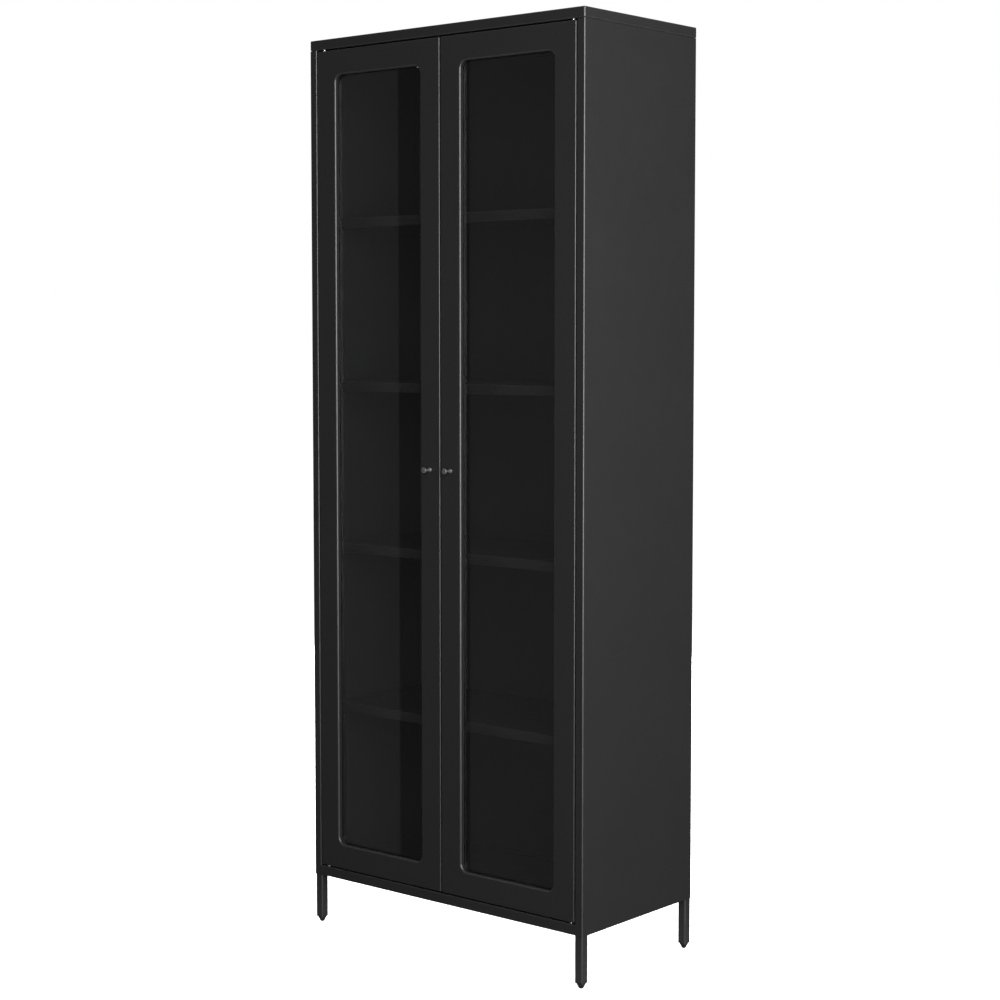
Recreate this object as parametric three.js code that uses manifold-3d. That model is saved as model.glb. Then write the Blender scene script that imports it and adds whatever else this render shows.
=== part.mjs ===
// Tower display case: a folded sheet-steel cabinet on four legs, with two glazed doors on pivot pins.
// Millimetres, +Z up, and the front faces -Y. The origin is on the floor at the middle of the footprint,
// knobs included. The lengths along Y below are counted from the middle of the case itself.
import * as THREE from 'three';
import { mergeVertices } from 'three/addons/utils/BufferGeometryUtils.js';
import Module from 'manifold-3d';

const wasm = await Module();
wasm.setup();

// ---- Driving dimensions ----
const WIDTH = 700;
const DEPTH = 350;
const HEIGHT = 1800;
const LEG_HEIGHT = 100;          // floor to the underside of the case
const CAP_HEIGHT = 20;           // visible edge of the top panel
const RAIL_HEIGHT = 20;          // visible edge of the bottom panel
const SHEET = 0.8;               // case and shelf sheet
const BEND = 1.6;                // outer radius of a fold
const BEND_STEPS = 3;
const FIT = 0.3;                 // air between neighbouring pieces

const STILE_WIDTH = 17.5;
const JAMB_DEPTH = 20;
const REAR_FLANGE = 12;
const BACK_FLANGE = 10;          // folded edges of the back panel
const CAP_SEAM = 0.6;            // shadow line between cap and side panel
const FRONT_LIP = 40;            // underside lip of the cap that carries the pivots and catches
const SIDE_LIP = 16;

const DOOR_GAP = 3;              // over, under and between the doors
const DOOR_EDGE = 330;           // hinge edge of a door, from the middle of the case
const DOOR_THICKNESS = 18;
const DOOR_SHEET = 1;
const DOOR_ROUND = 1.8;          // its front edges
const DOOR_CORNER = 2.5;         // its four corners
const FRAME_WIDTH = 50;
const WINDOW_ROUND = 15;
const ROLL = 3.5;                // rolled edge round the window
const ROLL_STEPS = 3;
const WINDOW_JAMB = 8;           // depth from the door's face to the end of the window's jamb
const GASKET = 1.2;
const GASKET_WIDTH = 8;
const GLASS = 4;
const GLASS_LAP = 9.5;           // glass hidden behind the frame on each side

const PIVOT_INSET = 12.25;       // from the door's hinge edge to the pivot's axis
const PIVOT_BACK = 8.5;          // from the door's face to the axis, so that its corner clears the stile
const PIN_RADIUS = 3;
const PIN_CLEARANCE = 0.15;
const PIN_ENGAGEMENT = 12;
const PIN_HEAD_RADIUS = 5;
const PIN_HEAD = 1.8;
const BUSH_RADIUS = 4.4;
const BUSH_LENGTH = 15;
const BUSH_FLANGE_RADIUS = 5.5;
const BUSH_FLANGE = 1;
const BUSH_HOLE_RADIUS = 4.6;

const KNOB_FROM_MIDDLE = 26.5;
const KNOB_HEIGHT = 950;
const KNOB_LENGTH = 20;
const KNOB_BORE = 2.15;
const KNOB_BORE_DEPTH = 9;
// The knob's outside, as [radius, distance from the door].
const KNOB_OUTLINE = [
  [4.5, 0],
  [4.5, 2.4],
  [3.9, 3.2],
  [2.8, 5.5],
  [2.7, 9.5],
  [3, 12.5],
  [4.6, 15.4],
  [5.25, 16.4],
  [5.25, 19.2],
  [4.6, KNOB_LENGTH],
];
const SCREW_RADIUS = 2;
const SCREW_REACH = 8;           // how far the knob's screw goes into the knob
const SCREW_HEAD_RADIUS = 3.5;
const SCREW_HEAD = 2.4;
const SCREW_HOLE_RADIUS = 2.4;

const SHELF_COUNT = 4;
const SHELF_EDGE = 20;
const SHELF_SETBACK = 65;
const SHELF_BACK_GAP = 2;
const SHELF_LIP = 12;

const SHELF_RAIL_FACE = 340;     // inner face of the slotted rails, from the middle
const SHELF_RAIL_WIDTH = 20;
const SHELF_RAIL_MARGIN = 60;    // rail ends to the floor and the cap
const SHELF_RAIL_Y = [-92, 152];
const SLOT_WIDTH = 11;
const SLOT_HEIGHT = 7.5;
const CLIP_WIDTH = 10;
const CLIP_METAL = 1.5;
const CLIP_TONGUE = 10;          // reach under the shelf
const CLIP_DROP = 14;            // length of its plate against the rail
const CLIP_AIR = 0.2;            // between its tongue and the shelf
const HOOK_LEVEL = 3;            // top of the hook, below the shelf
const HOOK_DROP = 5.5;

const LEG_SIDE = 18;
const LEG_ROUND = 3;
const LEG_WALL = 1.5;
const LEG_INSET = 1;
const LEG_PLATE_LENGTH = 44;
const LEG_PLATE = 2.5;
const FOOT_HEIGHT = 10.5;        // floor to the underside of the leg plug
const PLUG_FLANGE = 2;
const PLUG_LENGTH = 14;
const STUD_RADIUS = 4;
const STUD_TOP = 45;
// The foot's pad, as [radius, height above the floor].
const PAD_OUTLINE = [
  [3.6, 0],
  [4.8, 1.2],
  [5.4, 3.2],
  [7, 6.2],
  [8.6, 8.6],
  [8.6, FOOT_HEIGHT - FIT],
];

const CATCH_WIDTH = 44;
const CATCH_DEPTH = 15;
const CATCH_HEIGHT = 13;
const CATCH_FROM_MIDDLE = 36;
const CATCH_EAR = 8;             // screw ear beyond the body at each end
const CATCH_EAR_THICKNESS = 2.5;
const CATCH_EAR_SETBACK = 3;
const POLE_REACH = 1.5;          // how far the two steel poles stand out of the body
const POLE_THICKNESS = 2;
const POLE_DROPS = [4, 9];       // tops of the poles, below the cap

const ROUND_SEGMENTS = 16;

// ---- Derived levels ----
const HALF_WIDTH = WIDTH / 2;
const FRONT = -DEPTH / 2;
const BACK = DEPTH / 2;
const FLOOR_TOP = LEG_HEIGHT + RAIL_HEIGHT;
const CAP_BOTTOM = HEIGHT - CAP_HEIGHT;
const DOOR_BOTTOM = FLOOR_TOP + DOOR_GAP;
const DOOR_TOP = CAP_BOTTOM - DOOR_GAP;
const DOOR_INNER = DOOR_GAP / 2;
const DOOR_BACK = FRONT + DOOR_THICKNESS;
const PIVOT_X = DOOR_EDGE - PIVOT_INSET;
const PIVOT_Y = FRONT + PIVOT_BACK;
const SHELF_PITCH = (CAP_BOTTOM - FLOOR_TOP) / (SHELF_COUNT + 1);
const LEG_CENTRE_X = HALF_WIDTH - LEG_INSET - LEG_SIDE / 2;
const LEG_CENTRE_Y = BACK - LEG_INSET - LEG_SIDE / 2;
const CUT = 1;                   // how far a cutting solid runs past what it cuts

const SIDES = [['left', -1], ['right', 1]];
const ENDS = [['front', -1], ['back', 1]];

// ---- Materials ----
function paintedSteel() {
  return new THREE.MeshStandardMaterial({ color: 0x1c1c1d, roughness: 0.5, metalness: 0.2 });
}

function zincSteel() {
  return new THREE.MeshStandardMaterial({ color: 0xb9babc, roughness: 0.35, metalness: 0.9 });
}

function blackPlastic() {
  return new THREE.MeshStandardMaterial({ color: 0x111112, roughness: 0.6, metalness: 0 });
}

function blackRubber() {
  return new THREE.MeshStandardMaterial({ color: 0x0b0b0b, roughness: 0.9, metalness: 0 });
}

function clearGlass() {
  return new THREE.MeshStandardMaterial({
    color: 0x9aa3a6, roughness: 0.05, metalness: 0, transparent: true, opacity: 0.35,
  });
}

// ---- Solids ----
function toSolid(geometry) {
  geometry.deleteAttribute('normal');
  geometry.deleteAttribute('uv');
  const merged = mergeVertices(geometry, 1e-4);
  return new wasm.Manifold(new wasm.Mesh({
    numProp: 3,
    vertProperties: new Float32Array(merged.attributes.position.array),
    triVerts: new Uint32Array(merged.index.array),
  }));
}

function toGeometry(solid) {
  const mesh = solid.getMesh();
  const geometry = new THREE.BufferGeometry();
  geometry.setAttribute('position', new THREE.BufferAttribute(mesh.vertProperties, 3));
  geometry.setIndex(new THREE.BufferAttribute(mesh.triVerts, 1));
  return geometry;
}

function join(...solids) {
  return solids.reduce((whole, piece) => whole.add(piece));
}

// A box between two corners. The ends of each span may be given in either order.
function block([xa, xb], [ya, yb], [za, zb]) {
  const geometry = new THREE.BoxGeometry(Math.abs(xb - xa), Math.abs(yb - ya), Math.abs(zb - za));
  geometry.translate((xa + xb) / 2, (ya + yb) / 2, (za + zb) / 2);
  return toSolid(geometry);
}

function roundedRectangle([xa, xb], [ya, yb], radius) {
  const [x0, x1] = [Math.min(xa, xb), Math.max(xa, xb)];
  const [y0, y1] = [Math.min(ya, yb), Math.max(ya, yb)];
  const shape = new THREE.Shape();
  shape.absarc(x1 - radius, y0 + radius, radius, -Math.PI / 2, 0);
  shape.absarc(x1 - radius, y1 - radius, radius, 0, Math.PI / 2);
  shape.absarc(x0 + radius, y1 - radius, radius, Math.PI / 2, Math.PI);
  shape.absarc(x0 + radius, y0 + radius, radius, Math.PI, 1.5 * Math.PI);
  return shape;
}

// An upright prism on an outline in the XY plane.
function upright(shape, [z0, z1], curveSegments = BEND_STEPS) {
  const geometry = new THREE.ExtrudeGeometry(shape, { depth: z1 - z0, bevelEnabled: false, curveSegments });
  geometry.translate(0, 0, z0);
  return toSolid(geometry);
}

// A prism on an outline in the XZ plane, from y0 back to y1. A positive round rounds its front and back
// edges. A negative one flares them, and a flared prism leaves a rolled edge on whatever it is cut from.
function lengthwise(shape, [y0, y1], round = 0, curveSegments = BEND_STEPS) {
  const size = Math.abs(round);
  const geometry = new THREE.ExtrudeGeometry(shape, {
    depth: y1 - y0 - 2 * size,
    bevelEnabled: size > 0,
    bevelThickness: size,
    bevelSize: round,
    bevelOffset: -round,
    bevelSegments: ROLL_STEPS,
    curveSegments,
  });
  geometry.rotateX(Math.PI / 2);
  geometry.translate(0, y1 - size, 0);
  return toSolid(geometry);
}

// A solid of revolution about a vertical line through (x, y). Each profile point is [radius, height].
function turned(profile, x = 0, y = 0) {
  const points = profile.map(([radius, height]) => new THREE.Vector2(radius, height));
  const geometry = new THREE.LatheGeometry(points, ROUND_SEGMENTS);
  geometry.rotateX(Math.PI / 2);
  geometry.translate(x, y, 0);
  return toSolid(geometry);
}

// The same about a line that runs from the point (x, y, z) towards the front.
function turnedForward(profile, x, y, z) {
  const points = profile.map(([radius, height]) => new THREE.Vector2(radius, height));
  const geometry = new THREE.LatheGeometry(points, ROUND_SEGMENTS);
  geometry.rotateX(Math.PI);
  geometry.translate(x, y, z);
  return toSolid(geometry);
}

// The outline of a folded sheet whose middle surface follows the points, with a round bend at each corner.
function foldedOutline(points, sheet = SHEET, radius = BEND) {
  const bend = radius - sheet / 2;
  const left = [];
  const right = [];
  const offset = (point, direction) => {
    const normal = new THREE.Vector2(-direction.y, direction.x).multiplyScalar(sheet / 2);
    left.push(point.clone().add(normal));
    right.push(point.clone().sub(normal));
  };
  const corners = points.map(([x, y]) => new THREE.Vector2(x, y));
  const heading = (i) => corners[i + 1].clone().sub(corners[i]).normalize();
  offset(corners[0], heading(0));
  for (let i = 1; i < corners.length - 1; i += 1) {
    const before = heading(i - 1);
    const after = heading(i);
    const turn = Math.atan2(before.cross(after), before.dot(after));
    const reach = bend * Math.tan(Math.abs(turn) / 2);
    const start = corners[i].clone().addScaledVector(before, -reach);
    const inward = new THREE.Vector2(-before.y, before.x).multiplyScalar(bend * Math.sign(turn));
    const centre = start.clone().add(inward);
    for (let step = 0; step <= BEND_STEPS; step += 1) {
      const angle = turn * step / BEND_STEPS;
      const direction = before.clone().rotateAround(new THREE.Vector2(), angle);
      offset(start.clone().rotateAround(centre, angle), direction);
    }
  }
  const last = corners.length - 1;
  offset(corners[last], heading(last - 1));
  return new THREE.Shape([...left, ...right.reverse()]);
}

// ---- The object ----
const displayCase = new THREE.Group();

function addPart(name, solid, material) {
  const mesh = new THREE.Mesh(toGeometry(solid), material);
  mesh.name = name;
  displayCase.add(mesh);
}

// ---- Case ----
function topPanel() {
  const across = [-HALF_WIDTH, HALF_WIDTH];
  const along = [FRONT, BACK];
  const inner = HALF_WIDTH - SHEET;
  const shell = upright(roundedRectangle(across, along, BEND), [CAP_BOTTOM, HEIGHT])
    .intersect(lengthwise(roundedRectangle(across, [CAP_BOTTOM - 2 * BEND, HEIGHT], BEND), along));
  const hollow = block([-inner, inner], [FRONT + SHEET, BACK - SHEET], [CAP_BOTTOM + SHEET, HEIGHT - SHEET]);
  const mouth = block(
    [-HALF_WIDTH + SIDE_LIP, HALF_WIDTH - SIDE_LIP],
    [FRONT + FRONT_LIP, BACK - SIDE_LIP],
    [CAP_BOTTOM - CUT, CAP_BOTTOM + 2 * SHEET],
  );
  let panel = shell.subtract(hollow).subtract(mouth);
  for (const [, side] of SIDES) {
    panel = panel.subtract(pinHole(side, [CAP_BOTTOM - CUT, CAP_BOTTOM + SHEET + CUT]));
  }
  return panel;
}

function pinHole(side, [z0, z1]) {
  const radius = PIN_RADIUS + PIN_CLEARANCE;
  return turned([[0, z0], [radius, z0], [radius, z1], [0, z1]], side * PIVOT_X, PIVOT_Y);
}

function bottomPanel() {
  const edge = HALF_WIDTH - SHEET - FIT;
  const railEnd = HALF_WIDTH - STILE_WIDTH - FIT;
  const jambEnd = FRONT + JAMB_DEPTH + FIT;
  const back = BACK - 2 * SHEET - 2 * FIT;
  const sideFlangeHalf = BACK - LEG_INSET - LEG_PLATE_LENGTH - 2 * FIT;
  const backFlangeHalf = HALF_WIDTH - LEG_SIDE - 2 * LEG_INSET - FIT;
  let panel = join(
    block([-railEnd, railEnd], [FRONT, jambEnd], [FLOOR_TOP - SHEET, FLOOR_TOP]),
    block([-edge, edge], [jambEnd, back], [FLOOR_TOP - SHEET, FLOOR_TOP]),
    block([-railEnd, railEnd], [FRONT, FRONT + SHEET], [LEG_HEIGHT, FLOOR_TOP]),
    block([-backFlangeHalf, backFlangeHalf], [FRONT, FRONT + SHELF_LIP], [LEG_HEIGHT, LEG_HEIGHT + SHEET]),
    block([-backFlangeHalf, backFlangeHalf], [back - SHEET, back], [LEG_HEIGHT, FLOOR_TOP]),
  );
  for (const [, side] of SIDES) {
    const flange = block(
      [side * (edge - SHEET), side * edge],
      [-sideFlangeHalf, sideFlangeHalf],
      [LEG_HEIGHT, FLOOR_TOP],
    );
    panel = panel.add(flange).subtract(pinHole(side, [FLOOR_TOP - SHEET - CUT, FLOOR_TOP + CUT]));
  }
  return panel;
}

// One rail for the shelf clips, with a slot for each, welded to the inside of a side panel.
function shelfRail(side, y) {
  const face = side * SHELF_RAIL_FACE;
  const skin = side * (HALF_WIDTH - SHEET / 2);
  const half = SHELF_RAIL_WIDTH / 2;
  const ends = [FLOOR_TOP + SHELF_RAIL_MARGIN, CAP_BOTTOM - SHELF_RAIL_MARGIN];
  const hollow = block(
    [face + side * SHEET, skin],
    [y - half + SHEET, y + half - SHEET],
    [ends[0] - CUT, ends[1] + CUT],
  );
  let rail = block([face, skin], [y - half, y + half], ends).subtract(hollow);
  for (const level of clipLevels()) {
    const top = level - CLIP_METAL;
    rail = rail.subtract(block(
      [face - side * CUT, face + side * (SHEET + CUT)],
      [y - SLOT_WIDTH / 2, y + SLOT_WIDTH / 2],
      [top - SLOT_HEIGHT, top],
    ));
  }
  return rail;
}

function sidePanel(side) {
  const middle = SHEET / 2;
  const skin = side * (HALF_WIDTH - middle);
  const jamb = side * (HALF_WIDTH - STILE_WIDTH + middle);
  const outline = foldedOutline([
    [jamb, FRONT + JAMB_DEPTH],
    [jamb, FRONT + middle],
    [skin, FRONT + middle],
    [skin, BACK - middle],
    [side * (HALF_WIDTH - REAR_FLANGE), BACK - middle],
  ]);
  const sheet = upright(outline, [LEG_HEIGHT, CAP_BOTTOM - CAP_SEAM]);
  // Below the floor the jamb is cut away, so that the leg can run up inside the corner.
  const legRoom = block(
    [side * (HALF_WIDTH - STILE_WIDTH - CUT), side * (HALF_WIDTH - STILE_WIDTH + 2 * SHEET)],
    [FRONT + SHEET, FRONT + JAMB_DEPTH + CUT],
    [LEG_HEIGHT - CUT, FLOOR_TOP + CUT],
  );
  return join(sheet.subtract(legRoom), ...SHELF_RAIL_Y.map((y) => shelfRail(side, y)));
}

// A sheet whose upper and lower edges are folded forward.
function backPanel() {
  const edge = HALF_WIDTH - SHEET - 2 * FIT;
  const behind = BACK - SHEET - FIT;
  const across = [-edge, edge];
  const [bottom, top] = [FLOOR_TOP + FIT, CAP_BOTTOM - FIT];
  const flange = [behind - BACK_FLANGE, behind];
  return join(
    block(across, [behind - SHEET, behind], [bottom, top]),
    block(across, flange, [bottom, bottom + SHEET]),
    block(across, flange, [top - SHEET, top]),
  );
}

// ---- Shelves and their clips ----
function shelfTops() {
  return Array.from({ length: SHELF_COUNT }, (_, i) => FLOOR_TOP + (i + 1) * SHELF_PITCH);
}

function clipLevels() {
  return shelfTops().map((top) => top - SHELF_EDGE);
}

function shelf(top) {
  const bottom = top - SHELF_EDGE;
  const half = SHELF_RAIL_FACE - SHEET;
  const front = FRONT + SHELF_SETBACK;
  const back = BACK - 2 * SHEET - FIT - SHELF_BACK_GAP;
  const body = block([-half, half], [front, back], [bottom, top]);
  const hollow = block(
    [-half + SHEET, half - SHEET],
    [front + SHEET, back - SHEET],
    [bottom + SHEET, top - SHEET],
  );
  const mouth = block(
    [-half + SHEET, half - SHEET],
    [front + SHELF_LIP, back - SHEET],
    [bottom - CUT, bottom + 2 * SHEET],
  );
  return body.subtract(hollow).subtract(mouth);
}

// A bent hook clip: a tongue under the shelf, a plate against the rail and a hook through the slot.
function shelfClip(side, y, level) {
  const plate = SHELF_RAIL_FACE - FIT;
  const inner = plate - CLIP_METAL;
  const tongue = plate - CLIP_TONGUE;
  const hookBack = SHELF_RAIL_FACE + SHEET + FIT;
  const hookTip = hookBack + CLIP_METAL;
  const top = level - CLIP_AIR;
  const hookTop = level - HOOK_LEVEL;
  const outline = [
    [tongue, top],
    [plate, top],
    [plate, hookTop],
    [hookTip, hookTop],
    [hookTip, hookTop - HOOK_DROP],
    [hookBack, hookTop - HOOK_DROP],
    [hookBack, hookTop - CLIP_METAL],
    [plate, hookTop - CLIP_METAL],
    [plate, level - CLIP_DROP],
    [inner, level - CLIP_DROP],
    [inner, top - CLIP_METAL],
    [tongue, top - CLIP_METAL],
  ];
  const shape = new THREE.Shape(outline.map(([x, z]) => new THREE.Vector2(side * x, z)));
  return lengthwise(shape, [y - CLIP_WIDTH / 2, y + CLIP_WIDTH / 2]);
}

// ---- Legs and feet ----
function leg(side, end) {
  const x = side * LEG_CENTRE_X;
  const y = end * LEG_CENTRE_Y;
  const half = LEG_SIDE / 2;
  const bore = half - LEG_WALL;
  const bottom = FOOT_HEIGHT + PLUG_FLANGE;
  const top = FLOOR_TOP - SHEET - FIT;
  const outside = roundedRectangle([x - half, x + half], [y - half, y + half], LEG_ROUND);
  const inside = roundedRectangle([x - bore, x + bore], [y - bore, y + bore], LEG_ROUND - LEG_WALL);
  const tube = upright(outside, [bottom, top]).subtract(upright(inside, [bottom - CUT, top + CUT]));
  // The plate runs inwards from the tube under the floor, where two bolts hold it.
  const plate = block(
    [x - half, x + half],
    [y - end * (half - LEG_WALL), y - end * (LEG_PLATE_LENGTH - half)],
    [top - LEG_PLATE, top],
  );
  return tube.add(plate);
}

function legPlug(side, end) {
  const x = side * LEG_CENTRE_X;
  const y = end * LEG_CENTRE_Y;
  const half = LEG_SIDE / 2;
  const body = half - LEG_WALL - FIT;
  const bore = STUD_RADIUS + FIT;
  const flangeTop = FOOT_HEIGHT + PLUG_FLANGE;
  const top = flangeTop + PLUG_LENGTH;
  const hole = turned([
    [0, FOOT_HEIGHT - CUT], [bore, FOOT_HEIGHT - CUT], [bore, top + CUT], [0, top + CUT],
  ], x, y);
  const flange = roundedRectangle([x - half, x + half], [y - half, y + half], LEG_WALL);
  const plug = roundedRectangle([x - body, x + body], [y - body, y + body], LEG_ROUND - LEG_WALL);
  return join(upright(flange, [FOOT_HEIGHT, flangeTop]), upright(plug, [flangeTop, top])).subtract(hole);
}

function levellingFoot(side, end) {
  return turned([
    [0, 0],
    ...PAD_OUTLINE,
    [STUD_RADIUS, FOOT_HEIGHT - FIT],
    [STUD_RADIUS, STUD_TOP - 1],
    [STUD_RADIUS - 1, STUD_TOP],
    [0, STUD_TOP],
  ], side * LEG_CENTRE_X, end * LEG_CENTRE_Y);
}

// ---- Door hardware that stays on the case ----
// A headed pin through a sheet. The head is on one side of the sheet and the shank points the other way.
function pivotPin(side, sheetFace, direction) {
  const headTop = sheetFace - direction * PIN_HEAD;
  const shankEnd = sheetFace + direction * (SHEET + DOOR_GAP + PIN_ENGAGEMENT);
  const profile = [
    [0, headTop],
    [PIN_HEAD_RADIUS, headTop],
    [PIN_HEAD_RADIUS, sheetFace],
    [PIN_RADIUS, sheetFace],
    [PIN_RADIUS, shankEnd - direction],
    [PIN_RADIUS - 1, shankEnd],
    [0, shankEnd],
  ];
  return turned(direction > 0 ? profile : profile.reverse(), side * PIVOT_X, PIVOT_Y);
}

function magneticCatch(side) {
  const x = side * CATCH_FROM_MIDDLE;
  const earHalf = CATCH_WIDTH / 2;
  const half = earHalf - CATCH_EAR;
  const poleHalf = half - 3;
  const front = DOOR_BACK + 2 * FIT;
  const bodyFront = front + POLE_REACH;
  const back = front + CATCH_DEPTH;
  const body = block([x - half, x + half], [bodyFront, back], [CAP_BOTTOM - CATCH_HEIGHT, CAP_BOTTOM]);
  const ears = block(
    [x - earHalf, x + earHalf],
    [bodyFront + CATCH_EAR_SETBACK, back - CATCH_EAR_SETBACK],
    [CAP_BOTTOM - CATCH_EAR_THICKNESS, CAP_BOTTOM],
  );
  const poles = POLE_DROPS.map((drop) => block(
    [x - poleHalf, x + poleHalf],
    [front, front + CATCH_DEPTH / 2],
    [CAP_BOTTOM - drop - POLE_THICKNESS, CAP_BOTTOM - drop],
  ));
  return join(body, ears, ...poles);
}

// ---- Doors ----
function windowOutline(side, grow = 0) {
  return roundedRectangle(
    [side * (DOOR_INNER + FRAME_WIDTH - grow), side * (DOOR_EDGE - FRAME_WIDTH + grow)],
    [DOOR_BOTTOM + FRAME_WIDTH - grow, DOOR_TOP - FRAME_WIDTH + grow],
    WINDOW_ROUND + grow,
  );
}

function doorSpan(side, inset) {
  return [side * (DOOR_INNER + inset), side * (DOOR_EDGE - inset)];
}

// The visible skin: a channel all round, open to the back, with a rolled edge into the window.
function doorFrame(side) {
  const outer = lengthwise(
    roundedRectangle(doorSpan(side, 0), [DOOR_BOTTOM, DOOR_TOP], DOOR_CORNER),
    [FRONT, DOOR_BACK + 2 * DOOR_ROUND],
    DOOR_ROUND,
  ).subtract(block(doorSpan(side, -CUT), [DOOR_BACK, DOOR_BACK + 10], [DOOR_BOTTOM - CUT, DOOR_TOP + CUT]));
  const hollow = block(
    doorSpan(side, DOOR_SHEET),
    [FRONT + DOOR_SHEET, DOOR_BACK + CUT],
    [DOOR_BOTTOM + DOOR_SHEET, DOOR_TOP - DOOR_SHEET],
  );
  const jamb = lengthwise(
    windowOutline(side, DOOR_SHEET),
    [FRONT + DOOR_SHEET, FRONT + WINDOW_JAMB + 10],
    -(ROLL - DOOR_SHEET),
  ).subtract(block(doorSpan(side, 0), [FRONT + WINDOW_JAMB, FRONT + 20], [DOOR_BOTTOM, DOOR_TOP]));
  const opening = lengthwise(windowOutline(side), [FRONT, DOOR_BACK + 20], -ROLL);
  const screwDepth = DOOR_SHEET + CUT;
  let frame = outer.subtract(hollow.subtract(jamb)).subtract(opening);
  for (const [z0, z1] of [[DOOR_BOTTOM - CUT, DOOR_BOTTOM + 2], [DOOR_TOP - 2, DOOR_TOP + CUT]]) {
    frame = frame.subtract(turned(
      [[0, z0], [BUSH_HOLE_RADIUS, z0], [BUSH_HOLE_RADIUS, z1], [0, z1]],
      side * PIVOT_X,
      PIVOT_Y,
    ));
  }
  return frame.subtract(turnedForward(
    [[0, -screwDepth], [SCREW_HOLE_RADIUS, -screwDepth], [SCREW_HOLE_RADIUS, CUT], [0, CUT]],
    side * KNOB_FROM_MIDDLE,
    FRONT,
    KNOB_HEIGHT,
  ));
}

const GASKET_FRONT = FRONT + WINDOW_JAMB;
const GLASS_FRONT = GASKET_FRONT + GASKET;
const GLASS_BACK = GLASS_FRONT + GLASS;

function gasket(side) {
  return lengthwise(windowOutline(side, GASKET_WIDTH), [GASKET_FRONT, GLASS_FRONT])
    .subtract(lengthwise(windowOutline(side), [GASKET_FRONT - CUT, GLASS_FRONT + CUT]));
}

function glassPane(side) {
  return block(
    [side * (DOOR_INNER + FRAME_WIDTH - GLASS_LAP), side * (DOOR_EDGE - FRAME_WIDTH + GLASS_LAP)],
    [GLASS_FRONT, GLASS_BACK],
    [DOOR_BOTTOM + FRAME_WIDTH - GLASS_LAP, DOOR_TOP - FRAME_WIDTH + GLASS_LAP],
  );
}

// The inner frame: a ring that closes the channel and holds the glass with its turned-in edge.
function glassRetainer(side) {
  const inset = DOOR_SHEET + 2 * FIT;
  const ring = block(
    doorSpan(side, inset),
    [DOOR_BACK - DOOR_SHEET, DOOR_BACK],
    [DOOR_BOTTOM + inset, DOOR_TOP - inset],
  );
  const lip = lengthwise(windowOutline(side, DOOR_SHEET), [GLASS_BACK, DOOR_BACK]);
  return ring.add(lip).subtract(lengthwise(windowOutline(side), [GLASS_BACK - CUT, DOOR_BACK + CUT]));
}

function knob(side) {
  const profile = [
    [0, KNOB_BORE_DEPTH],
    [KNOB_BORE, KNOB_BORE_DEPTH],
    [KNOB_BORE, 0],
    ...KNOB_OUTLINE,
    [0, KNOB_LENGTH],
  ];
  return turnedForward(profile, side * KNOB_FROM_MIDDLE, FRONT, KNOB_HEIGHT);
}

function knobScrew(side) {
  const seat = -DOOR_SHEET;
  const profile = [
    [0, seat - SCREW_HEAD],
    [SCREW_HEAD_RADIUS, seat - SCREW_HEAD],
    [SCREW_HEAD_RADIUS, seat],
    [SCREW_RADIUS, seat],
    [SCREW_RADIUS, SCREW_REACH],
    [0, SCREW_REACH],
  ];
  return turnedForward(profile, side * KNOB_FROM_MIDDLE, FRONT, KNOB_HEIGHT);
}

// A flanged bush in the door's upper or lower edge. Direction is from the edge out to the case.
function pivotBush(side, edge, direction) {
  const bore = PIN_RADIUS + PIN_CLEARANCE;
  const flange = edge + direction * BUSH_FLANGE;
  const inner = edge - direction * BUSH_LENGTH;
  const profile = [
    [bore, inner],
    [BUSH_RADIUS, inner],
    [BUSH_RADIUS, edge],
    [BUSH_FLANGE_RADIUS, edge],
    [BUSH_FLANGE_RADIUS, flange],
    [bore, flange],
    [bore, inner],
  ];
  return turned(direction > 0 ? profile : profile.reverse(), side * PIVOT_X, PIVOT_Y);
}

// ---- Assembly ----
addPart('top_panel', topPanel(), paintedSteel());
addPart('bottom_panel', bottomPanel(), paintedSteel());
addPart('back_panel', backPanel(), paintedSteel());
shelfTops().forEach((top, i) => addPart(`shelf_${i + 1}`, shelf(top), paintedSteel()));

for (const [sideName, side] of SIDES) {
  addPart(`side_panel_${sideName}`, sidePanel(side), paintedSteel());
  clipLevels().forEach((level, i) => ENDS.forEach(([endName], rail) => {
    const name = `shelf_clip_${i + 1}_${endName}_${sideName}`;
    addPart(name, shelfClip(side, SHELF_RAIL_Y[rail], level), paintedSteel());
  }));
  for (const [endName, end] of ENDS) {
    addPart(`leg_${endName}_${sideName}`, leg(side, end), paintedSteel());
    addPart(`leg_plug_${endName}_${sideName}`, legPlug(side, end), blackPlastic());
    addPart(`levelling_foot_${endName}_${sideName}`, levellingFoot(side, end), blackPlastic());
  }
  addPart(`pivot_pin_upper_${sideName}`, pivotPin(side, CAP_BOTTOM + SHEET, -1), zincSteel());
  addPart(`pivot_pin_lower_${sideName}`, pivotPin(side, FLOOR_TOP - SHEET, 1), zincSteel());
  addPart(`magnetic_catch_${sideName}`, magneticCatch(side), blackPlastic());

  addPart(`door_frame_${sideName}`, doorFrame(side), paintedSteel());
  addPart(`door_gasket_${sideName}`, gasket(side), blackRubber());
  addPart(`door_glass_${sideName}`, glassPane(side), clearGlass());
  addPart(`glass_retainer_${sideName}`, glassRetainer(side), paintedSteel());
  addPart(`door_knob_${sideName}`, knob(side), paintedSteel());
  addPart(`knob_screw_${sideName}`, knobScrew(side), zincSteel());
  addPart(`pivot_bush_upper_${sideName}`, pivotBush(side, DOOR_TOP, 1), blackPlastic());
  addPart(`pivot_bush_lower_${sideName}`, pivotBush(side, DOOR_BOTTOM, -1), blackPlastic());
}

// The knobs count in the footprint, so the case stands half their length behind the middle.
displayCase.position.y = KNOB_LENGTH / 2;

export default displayCase;
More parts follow.
